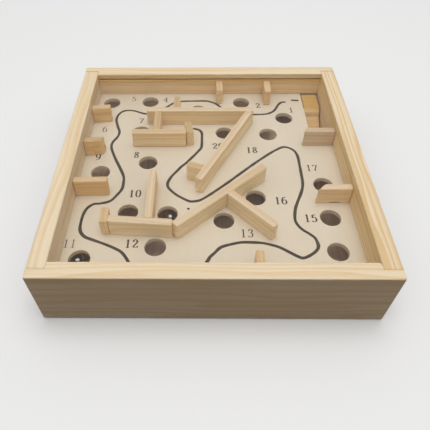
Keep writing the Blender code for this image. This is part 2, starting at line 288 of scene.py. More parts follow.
def rail_section(grooved):
    """Corners of a rail's section as rows: depth from its outer face, height, and share of the arris.

    The share of the arris eases that corner. Each grooved sheet is given by its lowest and highest corners.
    """
    shelf = base_high.z + FIT_GAP - JOINT_CLOSING
    corners = [(0, 0, 0.8), (lap_thickness, 0, 0.4)]
    corners += [(lap_thickness, shelf, 0.3), (rail_thickness, shelf, 0.5)]
    for low, high in grooved:
        bottom = low.z - FIT_GAP + JOINT_CLOSING
        top = high.z + FIT_GAP - JOINT_CLOSING
        corners += [(rail_thickness, bottom, 0.4), (groove_floor, bottom, 0.2)]
        corners += [(groove_floor, top, 0.2), (rail_thickness, top, 0.4)]
    return np.array(corners + [(rail_thickness, outer_high.z, 1), (0, outer_high.z, 1)])


def rail_half(half_length, shoulder, depth_beyond, wear):
    """Stations from a rail's middle to one end, as rows of place, inset of the section and greatest depth.

    The depth is the rail's thickness up to the shoulder, falls there in a quarter circle of the wear's
    radius, and is held at depth_beyond from there. At the end the inset grows in a quarter circle of the
    arris's radius.
    """
    turn = np.linspace(0, pi / 2, 5)
    inner = np.arange(0, shoulder - wear, RAIL_STEP)
    worn = shoulder - wear + wear * np.sin(turn)
    outer = np.arange(shoulder, half_length - RAIL_ARRIS, RAIL_STEP)
    end = half_length - RAIL_ARRIS + RAIL_ARRIS * np.sin(turn)
    place = np.concatenate((inner, worn, outer, end))
    inset = np.concatenate((np.zeros(len(inner) + len(worn) + len(outer)), RAIL_ARRIS * (1 - np.cos(turn))))
    worn_depth = rail_thickness - wear * (1 - np.cos(turn))
    inner_depth = np.full(len(inner), rail_thickness)
    beyond = np.full(len(outer) + len(end), depth_beyond)
    return np.stack((place, inset, np.concatenate((inner_depth, worn_depth, beyond))), axis=1)


def rail_rings(corners, half_length, shoulder, depth_beyond, seed, wear=0.0):
    """Rings of a rail along X with its outer face at y = 0 and its inside towards +Y.

    Each ring is the section with its corners eased by an arris that wanders by a third. An inset shrinks it
    about its middle, the station's greatest depth holds its points back, and its depths wander slightly.
    """
    left = rail_half(half_length, shoulder, depth_beyond, 0.0)[:0:-1] * (-1, 1, 1)
    x, inset, depth = np.vstack((left, rail_half(half_length, shoulder, depth_beyond, wear))).T[:, :, None]
    cut = RAIL_ARRIS * corners[:, 2] * (1 + 0.35 * wander(x, seed))
    section = eased(np.broadcast_to(corners[:, :2], (*cut.shape, 2)), cut)
    middle = np.array((rail_thickness, outer_high.z)) / 2
    section = middle + (section - middle) * (1 - inset[..., None] / middle)
    uneven = RAIL_UNEVENNESS * wander(x + 0.2 * section[..., 1], seed + 1)
    inward = np.minimum(section[..., 0], depth) + uneven
    return np.stack((np.broadcast_to(x, inward.shape), inward, section[..., 1]), axis=-1)


def add_rail(name, rings, turn, material):
    """Turns the rings to their side of the box, by quarter turns from the front, and makes the rail."""
    heart, closeness, inner_colour = RAIL_LOOKS[name]
    half_way = outer_high.y if turn % 2 == 0 else outer_high.x
    outward = rings - np.array((0, half_way, 0))
    angle = turn * pi / 2
    quarter = np.array(((cos(angle), -sin(angle)), (sin(angle), cos(angle))))
    outward[..., :2] = outward[..., :2] @ np.round(quarter.T)
    rail = make_piece(name + "_planed", *carried(outward), material)
    places = set_grain(rail, (1, 0) if turn % 2 == 0 else (0, 1), heart, closeness)
    depth = half_way - np.abs(places[:, 1 if turn % 2 == 0 else 0])
    below_top = places[:, 2] < outer_high.z - 0.6 * RAIL_ARRIS
    inside = (below_top & (depth > rail_thickness - RAIL_ARRIS / 2))[:, None]
    outside = (below_top & (depth < RAIL_ARRIS / 2))[:, None]
    # The outsides take the painted shade, the inner faces their rail's inner colour with its painted bounce
    # light, and the rest the top's colour.
    set_colour(rail, np.where(inside, inner_colour, np.where(outside, RAIL_OUTER_PAINTED_SHADE, RAIL_TOP_COLOUR)))
    stand_for(rail, name)


pine = wood("planed_pine", 1.9, 0.45, 0.25)
lap_shoulder = opening_high.x - FIT_GAP + JOINT_CLOSING
double_grooved = rail_section([(board_low, board_high), (cover_low, cover_high)])
front_rings = rail_rings(double_grooved, outer_high.x, lap_shoulder, lap_thickness, 1, SHOULDER_WEAR)
add_rail("front_rail", front_rings, 0, pine)
back_rings = rail_rings(double_grooved, outer_high.x, lap_shoulder, lap_thickness, 2)
add_rail("back_rail", back_rings, 2, pine)


# The left and right rails: the same pine, grooved for the play board alone, square at both ends and glued
# behind the laps of the front and back rails. The right one has close, strongly marked rings, and its
# groove ends where the board does, at the slot for the ramp.
SLOT_LAND = 0.0005  # board left behind the stub in front of the ramp

slot_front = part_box("right_back_stub")[1].y + SLOT_LAND
side_length = side_rail_end + JOINT_CLOSING
side_shoulder = side_length - 2 * RAIL_ARRIS
single_grooved = rail_section([(board_low, board_high)])
right_rings = rail_rings(single_grooved, side_length, side_shoulder, rail_thickness, 3)
beside_ramp = right_rings[..., 0] > slot_front + RAIL_STEP
at_groove = np.abs(right_rings[..., 2] - (board_low.z + board_high.z) / 2) < board_high.z - board_low.z
right_rings[..., 1] = np.where(beside_ramp & at_groove, rail_thickness, right_rings[..., 1])
close_ringed_pine = wood("close_ringed_pine", 1.9, 0.85, 0.3)
add_rail("right_rail", right_rings, 1, close_ringed_pine)
left_rings = rail_rings(single_grooved, side_length, side_shoulder, rail_thickness, 4)
add_rail("left_rail", left_rings, 3, pine)


# The base panel: a thin sheet of brown board let into the rabbet at the rails' foot, flush with their lower
# edges.
PANEL_ARRIS = 0.0003
PANEL_HEART = (-70, 30)  # in mm, across the grain and up
SLAB_STEP = 0.0012


def walked(outline, step):
    """A closed outline's points, with more between them, about a step apart."""
    closed = np.vstack((outline, outline[:1]))
    run = np.concatenate(([0], np.cumsum(np.linalg.norm(np.diff(closed, axis=0), axis=1))))
    stops = np.union1d(run[:-1], np.arange(0, run[-1], step))
    return np.stack([np.interp(stops, run, closed[:, part]) for part in (0, 1)], axis=1)


def slab_rings(outline, low, high, arris, seed=0, uneven=0.0):
    """Rings of a sheet or slat that stands on an outline given anticlockwise as seen from above.

    The outline is walked in even steps with its corners eased. Going up, the ring lies inside the outline by
    an arris that follows a quarter circle at the foot and again at the top, and it wanders by the unevenness.
    """
    ring = walked(eased(outline, np.full(len(outline), 1.7 * arris)), SLAB_STEP)
    tangent = np.roll(ring, -1, axis=0) - np.roll(ring, 1, axis=0)
    inward = np.stack((-tangent[:, 1], tangent[:, 0]), axis=1)
    inward = inward / np.linalg.norm(tangent, axis=1, keepdims=True)
    turn = np.linspace(0, pi / 2, 4)
    quarter_inset = arris * (1 - np.sin(turn))
    quarter_rise = arris * (1 - np.cos(turn))
    side = np.linspace(low + arris, high - arris, 6)[1:-1]
    inset = np.concatenate((quarter_inset, np.zeros(len(side)), quarter_inset[::-1]))
    level = np.concatenate((low + quarter_rise, side, high - quarter_rise[::-1]))
    around = ring.sum(axis=1)
    moved = inset[:, None] * (1 + 0.3 * wander(around, seed))
    moved = moved + uneven * wander(around + level[:, None], seed + 1)
    plan = ring + moved[..., None] * inward
    levels = np.broadcast_to(level[:, None, None], (*plan.shape[:2], 1))
    return np.concatenate((plan, levels), axis=-1)


def box_outline(low, high):
    """The four corners of a level box, anticlockwise as seen from above."""
    return np.array(((low.x, low.y), (high.x, low.y), (high.x, high.y), (low.x, high.y)))


brown_board = wood("brown_base_board", 3.1, 0.4, 0.9)
base_rings = slab_rings(box_outline(base_low, base_high), base_low.z, base_high.z, PANEL_ARRIS)
base_panel = make_piece("base_panel_sheet", *carried(base_rings), brown_board)
set_grain(base_panel, (0, 1), PANEL_HEART)
set_colour(base_panel, (0.86, 0.69, 0.55))
stand_for(base_panel, "base_panel")


# The play board: smooth pale sheet, 2 mm thick, held in the rails' lower groove. Twenty round holes are
# drilled through it, with the arris broken, and its back right corner is cut away for the return ramp.
HOLE_CLEARANCE = 0.0014  # added to the ball's diameter
HOLE_ARRIS = 0.00025
HOLE_SIDES = 72
BOARD_RELIEF = 0.00002
FACE_DEPTH_MM = 0.15  # of the printed face, below which the cut wood begins to show
CUT_DEPTH_MM = 0.35  # where it shows in full
# Centres of the holes, by number, as shares of the half opening
HOLE_PLACE_SHARES = {
    1: (0.649, 0.643),
    2: (0.290, 0.867),
    3: (-0.100, 0.753),
    4: (-0.533, 0.882),
    5: (-0.882, 0.865),
    6: (-0.926, 0.256),
    7: (-0.582, 0.457),
    8: (-0.492, 0.080),
    9: (-0.855, -0.031),
    10: (-0.596, -0.435),
    11: (-0.875, -0.841),
    12: (-0.380, -0.741),
    13: (0.088, -0.510),
    14: (0.837, -0.776),
    15: (0.841, -0.484),
    16: (0.329, -0.294),
    17: (0.847, -0.163),
    18: (0.490, 0.424),
    19: (-0.312, -0.451),
    20: (0.124, 0.443),
}

ball_low, ball_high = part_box("first_steel_ball")
hole_radius = (ball_high.z - ball_low.z + HOLE_CLEARANCE) / 2
slot_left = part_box("return_ramp")[0].x - FIT_GAP


def board_outline():
    """The board's six corners, anticlockwise, with the slot at the back right."""
    corners = [(board_low.x, board_low.y), (board_high.x, board_low.y), (board_high.x, slot_front)]
    corners += [(slot_left, slot_front), (slot_left, board_high.y), (board_low.x, board_high.y)]
    return np.array(corners)


def circle(centre, radius, sides):
    """Points on a circle: the centre plus the radius times the cosine and sine of even turns."""
    turn = np.linspace(0, 2 * pi, sides, endpoint=False)
    return np.array(centre) + radius * np.stack((np.cos(turn), np.sin(turn)), axis=1)


def drilled_sheet(name, outlines, low, high, arris):
    """Points and faces of a flat sheet filled between its outlines, with its arrises broken, in place."""
    curve = bpy.data.curves.new(name, "CURVE")
    curve.dimensions = "2D"
    curve.fill_mode = "BOTH"
    curve.extrude = (high - low) / 2 - arris
    curve.bevel_depth = arris
    curve.bevel_resolution = 2
    curve.offset = -arris
    for outline in outlines:
        spline = curve.splines.new("POLY")
        spline.points.add(len(outline) - 1)
        rows = np.concatenate((outline, np.zeros((len(outline), 1)), np.ones((len(outline), 1))), axis=1)
        spline.points.foreach_set("co", rows.ravel())
        spline.use_cyclic_u = True
    drawn = bpy.data.objects.new(name + "_drawn", curve)
    bpy.context.scene.collection.objects.link(drawn)
    mesh = bpy.data.meshes.new_from_object(drawn.evaluated_get(bpy.context.evaluated_depsgraph_get()))
    bpy.data.objects.remove(drawn)
    points = np.empty(len(mesh.vertices) * 3)
    mesh.vertices.foreach_get("co", points)
    points = points.reshape(-1, 3) + np.array((0, 0, (low + high) / 2))
    return points, [tuple(face.vertices) for face in mesh.polygons]


def printed_board():
    """Cream sheet with faint fibres along Y and soft clouds. Below its face the cut wood is warmer, and
    painted lighter than the face: painted light on the hole walls.
    """
    finish = Finish(bpy.data.materials.new("cream_play_board"))
    place = finish.scaled(finish.node("ShaderNodeTexCoord", output="Object"), (1 / MILLIMETRE,) * 3)
    height = finish.node("ShaderNodeSeparateXYZ", None, {0: place}, output="Z")
    clouds = finish.noise(place, (0.03, 0.02, 0.1), 3.0)
    fibres = finish.noise(place, (2.2, 0.1, 1.0), 2.0)
    cream = finish.mixed(clouds.step(0.3, 0.7), (0.66, 0.575, 0.445, 1), (0.605, 0.52, 0.395, 1))
    face = finish.mixed((fibres - 0.4) * 0.25, cream, (0.42, 0.33, 0.22, 1))
    face_level = board_high.z / MILLIMETRE
    below = 1 - height.step(face_level - CUT_DEPTH_MM, face_level - FACE_DEPTH_MM)
    # The cut wood at the hole walls and edges is warmer than the face and painted lighter too, as painted
    # light.
    finish.set("Base Color", finish.mixed(below * 0.7, face, (0.74, 0.60, 0.42, 1)))
    finish.set("Roughness", 0.48 + (fibres - 0.5) * 0.15)
    finish.relief(fibres, BOARD_RELIEF)
    return finish.owner


half_opening = np.array((opening_high.x, opening_high.y))
holes = [circle(half_opening * shares, hole_radius, HOLE_SIDES) for shares in HOLE_PLACE_SHARES.values()]
sheet = drilled_sheet("play_board_sheet", [board_outline(), *holes], board_low.z, board_high.z, HOLE_ARRIS)
play_board = make_piece("play_board_sheet", *sheet, printed_board())
stand_for(play_board, "play_board")


# The printed line: the way from hole to hole, 1.25 mm wide, in dark ink on the board's upper face. It runs
# below the wall strips and begins at the back right with a dash.
INK_WIDTH = 0.00125
INK_RISE = 0.00003
INK_LEAST_WIDTH = 1e-6  # left at the dot's ends
LINE_RUNS_SHARES = (
    ((0.814, 0.896), (0.747, 0.901)),
    ((0.693, 0.874), (0.652, 0.866), (0.620, 0.829), (0.591, 0.770), (0.556, 0.727), (0.500, 0.698),
     (0.394, 0.691), (0.27, 0.692), (0.17, 0.72), (0.089, 0.816), (0.054, 0.853), (0.00, 0.884),
     (-0.06, 0.892), (-0.265, 0.885), (-0.322, 0.860), (-0.376, 0.806), (-0.45, 0.74), (-0.551, 0.704),
     (-0.615, 0.723), (-0.662, 0.745), (-0.725, 0.754), (-0.777, 0.731), (-0.804, 0.683), (-0.812, 0.631),
     (-0.806, 0.589), (-0.786, 0.521), (-0.765, 0.454), (-0.774, 0.389), (-0.804, 0.326), (-0.808, 0.263),
     (-0.786, 0.191), (-0.751, 0.108), (-0.708, 0.017), (-0.670, -0.072), (-0.662, -0.136),
     (-0.666, -0.209), (-0.696, -0.270), (-0.739, -0.330), (-0.809, -0.354), (-0.852, -0.359),
     (-0.891, -0.393), (-0.911, -0.445), (-0.917, -0.510), (-0.915, -0.581), (-0.900, -0.623),
     (-0.866, -0.659), (-0.807, -0.685), (-0.735, -0.714), (-0.663, -0.747), (-0.604, -0.783),
     (-0.569, -0.826), (-0.550, -0.857), (-0.52, -0.90), (-0.44, -0.935), (-0.3, -0.945), (-0.15, -0.93),
     (-0.07, -0.90), (-0.030, -0.853), (-0.013, -0.821), (0.018, -0.788), (0.054, -0.748), (0.095, -0.728),
     (0.191, -0.703), (0.258, -0.701), (0.338, -0.706), (0.404, -0.723), (0.455, -0.743), (0.516, -0.783),
     (0.558, -0.811), (0.595, -0.827), (0.637, -0.811), (0.682, -0.779), (0.707, -0.748), (0.713, -0.715),
     (0.701, -0.663), (0.665, -0.624), (0.629, -0.593), (0.603, -0.555), (0.589, -0.513), (0.593, -0.460),
     (0.607, -0.395), (0.634, -0.327), (0.668, -0.248), (0.688, -0.187), (0.697, -0.124), (0.699, -0.038),
     (0.700, 0.051), (0.699, 0.154), (0.673, 0.226), (0.605, 0.262), (0.527, 0.220), (0.439, 0.149),
     (0.307, 0.029), (0.148, -0.125), (0.047, -0.218), (-0.023, -0.279), (-0.075, -0.318), (-0.116, -0.331),
     (-0.153, -0.332), (-0.197, -0.309), (-0.253, -0.269), (-0.290, -0.232), (-0.316, -0.198),
     (-0.326, -0.162), (-0.320, -0.125), (-0.296, -0.071), (-0.252, -0.006), (-0.230, 0.028),
     (-0.191, 0.073), (-0.153, 0.125), (-0.116, 0.178), (-0.090, 0.220), (-0.072, 0.252), (-0.066, 0.300),
     (-0.065, 0.380), (-0.067, 0.440), (-0.090, 0.480), (-0.141, 0.500)),
)
INK_DOT_SHARES = (-0.164, -0.403)


def curve_through(places, steps=8):
    """A smooth run through places, each stretch a Catmull-Rom cubic of the four places around it."""
    ends = np.vstack((2 * places[0] - places[1], places, 2 * places[-1] - places[-2]))
    before, start, end, after = ends[:-3, None], ends[1:-2, None], ends[2:-1, None], ends[3:, None]
    share = np.linspace(0, 1, steps, endpoint=False)[None, :, None]
    bend = 2 * before - 5 * start + 4 * end - after
    twist = 3 * start - before - 3 * end + after
    stretches = start + 0.5 * share * (end - before + share * (bend + share * twist))
    return np.vstack((stretches.reshape(-1, 2), places[-1:]))


def ink_rings(run, half_width):
    """Rings of a printed stroke along a run: a thin bar, sunk a little into the board and raised above it."""
    forward = np.gradient(run, axis=0)
    side = np.stack((-forward[:, 1], forward[:, 0]), axis=1)
    side = side / np.linalg.norm(forward, axis=1, keepdims=True)
    offsets = np.array((-1, -0.85, 0.85, 1))[:, None] * np.broadcast_to(half_width, len(run))
    levels = board_high.z + INK_RISE * np.array((-1, 1, 1, -1))
    plan = run + offsets[..., None] * side
    heights = np.broadcast_to(levels[:, None, None], (*plan.shape[:2], 1))
    return np.concatenate((plan, heights), axis=-1).transpose(1, 0, 2)


def joined(skins):
    """Several closed skins as one list of points and one of faces."""
    starts = np.cumsum([0] + [len(points) for points, _ in skins])
    faces = []
    for (_, skin), start in zip(skins, starts.tolist()):
        faces += [[corner + start for corner in face] for face in skin]
    return np.vstack([points for points, _ in skins]), faces


def printing_ink():
    """Dark ink that lets a little of the board through in small specks."""
    finish = Finish(bpy.data.materials.new("dark_ink"), Specular_IOR_Level=0.25)
    place = finish.scaled(finish.node("ShaderNodeTexCoord", output="Object"), (1 / MILLIMETRE,) * 3)
    specks = finish.noise(place, (2.6, 2.6, 0.1), 3.0).step(0.5, 0.85)
    worn = finish.noise(place, (0.12, 0.12, 0.1), 1.0).step(0.45, 0.75)
    through = specks * 0.3 + worn * 0.08
    finish.set("Base Color", finish.mixed(through, (0.048, 0.033, 0.017, 1), (0.32, 0.26, 0.19, 1)))
    finish.set("Roughness", 0.55 + specks * 0.2)
    return finish.owner


ink = printing_ink()
runs = [curve_through(half_opening * np.array(places)) for places in LINE_RUNS_SHARES]
strokes = [carried(ink_rings(run, INK_WIDTH / 2 * (1 + 0.12 * wander(run.sum(axis=1), 5)))) for run in runs]
dot_turn = np.linspace(0, pi, 9)
dot_radius = INK_WIDTH / 2.3
dot_run = half_opening * INK_DOT_SHARES + dot_radius * np.stack((-np.cos(dot_turn), 0 * dot_turn), axis=1)
strokes.append(carried(ink_rings(dot_run, dot_radius * np.sin(dot_turn) + INK_LEAST_WIDTH)))
printed_line = make_piece("printed_line", *joined(strokes), ink)
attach(printed_line, "box")


# The numbers: 1 to 20, in the same ink, each beside its hole. They are upright figures with serifs, 3.6 mm
# high and set close.
FIGURE_HEIGHT = 0.0036
FIGURE_SPACING = 0.0025
THICK_STROKE = 0.00066
THIN_STROKE = 0.00026
FIGURE_MIDDLE_SHARE = 0.27  # from its left edge, as a share of the height
# Each stroke of a figure, as shares of its height, to the right and up
FIGURE_STROKES_SHARES = {
    "0": (((0.27, 0.98), (0.10, 0.86), (0.05, 0.50), (0.10, 0.14), (0.27, 0.02), (0.44, 0.14), (0.49, 0.50),
           (0.44, 0.86), (0.27, 0.98)),),
    "1": (((0.27, 0.03), (0.27, 0.96)), ((0.28, 0.97), (0.20, 0.88), (0.12, 0.85)),
          ((0.10, 0.02), (0.44, 0.02))),
    "2": (((0.11, 0.70), (0.08, 0.82), (0.25, 0.97), (0.43, 0.84), (0.42, 0.62), (0.24, 0.34), (0.07, 0.07)),
          ((0.07, 0.07), (0.26, 0.08), (0.42, 0.05)), ((0.42, 0.05), (0.48, 0.10), (0.50, 0.20))),
    "3": (((0.09, 0.78), (0.14, 0.92), (0.27, 0.97), (0.42, 0.87), (0.40, 0.65), (0.24, 0.55)),
          ((0.24, 0.55), (0.41, 0.47), (0.46, 0.28), (0.37, 0.08), (0.20, 0.02), (0.08, 0.10), (0.08, 0.18))),
    "4": (((0.36, 0.97), (0.21, 0.66), (0.03, 0.29)), ((0.03, 0.28), (0.51, 0.28)),
          ((0.37, 0.03), (0.37, 0.97)), ((0.24, 0.02), (0.50, 0.02))),
    "5": (((0.15, 0.93), (0.30, 0.90), (0.45, 0.95)), ((0.15, 0.94), (0.13, 0.74), (0.10, 0.53)),
          ((0.10, 0.53), (0.25, 0.60), (0.41, 0.53), (0.47, 0.32), (0.39, 0.10), (0.20, 0.02), (0.08, 0.10),
           (0.08, 0.18))),
    "6": (((0.42, 0.90), (0.32, 0.97), (0.19, 0.90), (0.08, 0.68), (0.05, 0.40), (0.09, 0.14), (0.22, 0.03),
           (0.36, 0.05), (0.48, 0.22), (0.48, 0.44), (0.36, 0.60), (0.22, 0.59), (0.09, 0.46)),),
    "7": (((0.07, 0.93), (0.49, 0.93)), ((0.07, 0.94), (0.06, 0.78)),
          ((0.49, 0.93), (0.36, 0.62), (0.26, 0.30), (0.22, 0.03))),
    "8": (((0.27, 0.97), (0.13, 0.90), (0.10, 0.74), (0.27, 0.55), (0.44, 0.36), (0.46, 0.18), (0.27, 0.03),
           (0.08, 0.18), (0.10, 0.36), (0.27, 0.55), (0.42, 0.74), (0.40, 0.90), (0.27, 0.97)),),
    "9": (((0.12, 0.10), (0.22, 0.03), (0.35, 0.10), (0.46, 0.32), (0.49, 0.60), (0.45, 0.86), (0.32, 0.97),
           (0.18, 0.95), (0.06, 0.78), (0.06, 0.56), (0.18, 0.40), (0.32, 0.41), (0.45, 0.54)),),
}
# Middle of each number, as shares of the half opening
NUMBER_PLACE_SHARES = {
    1: (0.727, 0.755),
    2: (0.439, 0.822),
    3: (0.045, 0.675),
    4: (-0.394, 0.908),
    5: (-0.688, 0.925),
    6: (-0.894, 0.490),
    7: (-0.591, 0.606),
    8: (-0.592, 0.167),
    9: (-0.899, 0.143),
    10: (-0.563, -0.255),
    11: (-0.961, -0.714),
    12: (-0.541, -0.714),
    13: (0.243, -0.624),
    14: (0.835, -0.928),
    15: (0.700, -0.489),
    16: (0.510, -0.324),
    17: (0.791, 0.018),
    18: (0.339, 0.225),
    19: (-0.333, -0.566),
    20: (0.066, 0.275),
}
# Numbers that took the ink poorly, with the share of a full stroke's thickness that is left
FAINT_NUMBER_SHARES = {1: 0.83, 4: 0.68, 5: 0.6, 6: 0.65, 7: 0.83, 9: 0.87, 11: 0.54, 13: 0.8, 17: 0.8}


def figure_skins(figure, corner, ink_share):
    """Skins of one figure. A stroke thickens with the square of the share of its way that runs up or down."""
    skins = []
    for places in FIGURE_STROKES_SHARES[figure]:
        run = np.array(corner) + FIGURE_HEIGHT * curve_through(np.array(places), 6)
        forward = np.gradient(run, axis=0)
        upward = np.abs(forward[:, 1]) / np.linalg.norm(forward, axis=1)
        thickness = THIN_STROKE + (THICK_STROKE - THIN_STROKE) * upward**2
        skins.append(carried(ink_rings(run, ink_share * thickness / 2)))
    return skins


def number_skins(number, shares):
    """The skins of a number's figures, set side by side about its middle."""
    figures = str(number)
    left = half_opening[0] * shares[0] - FIGURE_SPACING * (len(figures) - 1) / 2
    left -= FIGURE_MIDDLE_SHARE * FIGURE_HEIGHT
    foot = half_opening[1] * shares[1] - FIGURE_HEIGHT / 2
    ink_share = FAINT_NUMBER_SHARES.get(number, 1)
    corners = [(left + FIGURE_SPACING * turn, foot) for turn in range(len(figures))]
    skins = [figure_skins(figure, corner, ink_share) for figure, corner in zip(figures, corners)]
    return [skin for figure in skins for skin in figure]


numbers = [skin for number, shares in NUMBER_PLACE_SHARES.items() for skin in number_skins(number, shares)]
printed_numbers = make_piece("printed_numbers", *joined(numbers), ink)
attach(printed_numbers, "box")


# The wall strips: twenty-one lengths sawn from pine slat, 2.8 mm thick, stood on edge and glued to the
# board and to what they run against. Some are tanner than others, and one is greyish.
STRIP_ARRIS = 0.0003
STRIP_UNEVENNESS = 0.000015
FOOT_CLEARANCE = 0.00003
STRIP_HEART = (-30, -14)  # in mm, across the grain and up: the middle of all the strips' hearts
STRIP_HEART_SPREAD = (18, 16)  # in mm to each side of it
STRIP_HEART_TURN = 2.4  # in radians, from one strip's heart to the next one's
CHIP_HEIGHT = 0.0006  # of the hollow under the right front stub
CHIP_REACH_SHARES = (0.855, 0.935)  # where it lies across the half opening
# Side colours are painted lighter, as painted bounce light, and top colours darker, as painted shade, so that
# the tops outshine the sides less.
PALE_LIT_SIDE = (0.95, 0.79, 0.51)
FAIR_LIT_SIDE = (0.90, 0.70, 0.40)
TAN_LIT_SIDE = (0.84, 0.58, 0.26)
PALE_SHADED_TOP = (0.70, 0.555, 0.385)
FAIR_SHADED_TOP = (0.64, 0.465, 0.26)
TAN_SHADED_TOP = (0.55, 0.40, 0.21)
# The side's and the top edge's colour of each strip, and the slot of its wood
STRIP_LOOKS = {
    "long_back_wall": (FAIR_LIT_SIDE, PALE_SHADED_TOP, "pale_strip"),
    "long_diagonal_wall": (PALE_LIT_SIDE, PALE_SHADED_TOP, "pale_strip"),
    "short_link_wall": (FAIR_LIT_SIDE, TAN_SHADED_TOP, "pale_strip"),
    "left_inner_wall": (FAIR_LIT_SIDE, FAIR_SHADED_TOP, "pale_strip"),
    "diagonal_side_stub": (PALE_LIT_SIDE, FAIR_SHADED_TOP, "pale_strip"),
    "end_stop_wall": (FAIR_LIT_SIDE, TAN_SHADED_TOP, "pale_strip"),
    "back_middle_tab": (FAIR_LIT_SIDE, FAIR_SHADED_TOP, "pale_strip"),
    "back_right_tab": (TAN_LIT_SIDE, FAIR_SHADED_TOP, "pale_strip"),
    "long_back_wall_stub": (FAIR_LIT_SIDE, TAN_SHADED_TOP, "pale_strip"),
    "left_back_stub": (TAN_LIT_SIDE, FAIR_SHADED_TOP, "tan_strip"),
    "left_middle_stub_outer": (TAN_LIT_SIDE, TAN_SHADED_TOP, "tan_strip"),
    "left_middle_stub_inner": (TAN_LIT_SIDE, TAN_SHADED_TOP, "tan_strip"),
    "left_front_stub": (TAN_LIT_SIDE, FAIR_SHADED_TOP, "tan_strip"),
    "middle_left_wall": (FAIR_LIT_SIDE, PALE_SHADED_TOP, "pale_strip"),
    "front_left_wall": (PALE_LIT_SIDE, PALE_SHADED_TOP, "tan_strip"),
    "front_left_end_wall": (FAIR_LIT_SIDE, FAIR_SHADED_TOP, "pale_strip"),
    "front_diagonal_wall": (PALE_LIT_SIDE, PALE_SHADED_TOP, "tan_strip"),
    "front_diagonal_branch": (PALE_LIT_SIDE, PALE_SHADED_TOP, "tan_strip"),
    "right_back_stub": ((0.70, 0.55, 0.36), (0.58, 0.45, 0.29), "grey_strip"),
    "right_front_stub": (FAIR_LIT_SIDE, PALE_SHADED_TOP, "pale_strip"),
    "front_tab": (FAIR_LIT_SIDE, FAIR_SHADED_TOP, "pale_strip"),
}


def plan_of(node):
    """The corners of an upright solid as seen from above, anticlockwise about their middle."""
    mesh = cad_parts[node].data
    places = np.empty(len(mesh.vertices) * 3)
    mesh.vertices.foreach_get("co", places)
    corners = np.unique(np.round(places.reshape(-1, 3)[:, :2], 6), axis=0)
    turn = np.arctan2(*(corners - corners.mean(axis=0)).T[::-1])
    return corners[np.argsort(turn)]


def drawn_out(outline, extra):
    """The outline lengthened at both ends along its longest side, and that side's direction."""
    sides = np.roll(outline, -1, axis=0) - outline
    lengths = np.linalg.norm(sides, axis=1)
    direction = sides[lengths.argmax()] / lengths.max()
    along = (outline - outline.mean(axis=0)) @ direction
    return outline + np.outer(np.sign(along) * extra, direction), direction


def chipped(rings):
    """Rings with a hollow under their foot: its points rise by a smooth hump over the chip's reach."""
    reach = half_opening[0] * np.array(CHIP_REACH_SHARES)
    share = np.clip((rings[..., 0] - reach[0]) / (reach[1] - reach[0]), 0, 1)
    near_foot = np.clip(1 - (rings[..., 2] - board_high.z) / (3 * CHIP_HEIGHT), 0, 1)
    rise = CHIP_HEIGHT * np.sin(pi * share) ** 0.5 * near_foot
    return rings + rise[..., None] * np.array((0, 0, 1))


strip_wood = wood("sawn_strip_pine", 1.6, 0.5, 0.45)
for seed, (node, (lit_side_colour, shaded_top_colour, slot)) in enumerate(STRIP_LOOKS.items()):
    outline, direction = drawn_out(plan_of(node), JOINT_CLOSING)
    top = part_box(node)[1].z
    rings = slab_rings(outline, board_high.z + FOOT_CLEARANCE, top, STRIP_ARRIS, seed, STRIP_UNEVENNESS)
    rings = chipped(rings) if node == "right_front_stub" else rings
    strip = make_piece(node + "_sawn", *carried(rings), strip_wood)
    heart_turn = STRIP_HEART_TURN * seed
    heart_across = STRIP_HEART[0] + STRIP_HEART_SPREAD[0] * cos(heart_turn)
    heart_up = STRIP_HEART[1] + STRIP_HEART_SPREAD[1] * sin(heart_turn)
    places = set_grain(strip, direction, (heart_across, heart_up))
    # The top edge takes the strip's painted shade and the rest the painted light of its side.
    set_colour(strip, np.where(places[:, 2:] > top - STRIP_ARRIS / 2, shaded_top_colour, lit_side_colour))
    stand_for(strip, node)


# The return ramp: a sawn pine block in the board's corner slot. A level landing at the back is flush with
# the board. Below a rough step, a slope falls to the base panel, where a dropped ball rolls up it when the
# box is tilted.
RAMP_ARRIS = 0.00025
RAMP_CORNER_CUT = 0.001
RAMP_HEART = (22, 2)  # in mm, across the grain and up
# The profile, from the back: forward as shares of its length, and up as shares of its height
RAMP_PROFILE_SHARES = np.array(
    ((0, 1), (0.389, 1), (0.451, 0.845), (0.471, 0.655), (0.488, 0.62), (1, 0.04), (1, 0), (0, 0))
)
# The landing is painted darker and the step and slope lighter: painted shade and painted light that even out
# how the lamp falls on them.
LANDING_PAINTED_DARKER = (0.57, 0.37, 0.10)
STEP_PAINTED_LIGHTER = (0.90, 0.66, 0.34)
SLOPE_PAINTED_LIGHTER = (0.74, 0.49, 0.23)

ramp_low, ramp_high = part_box("return_ramp")


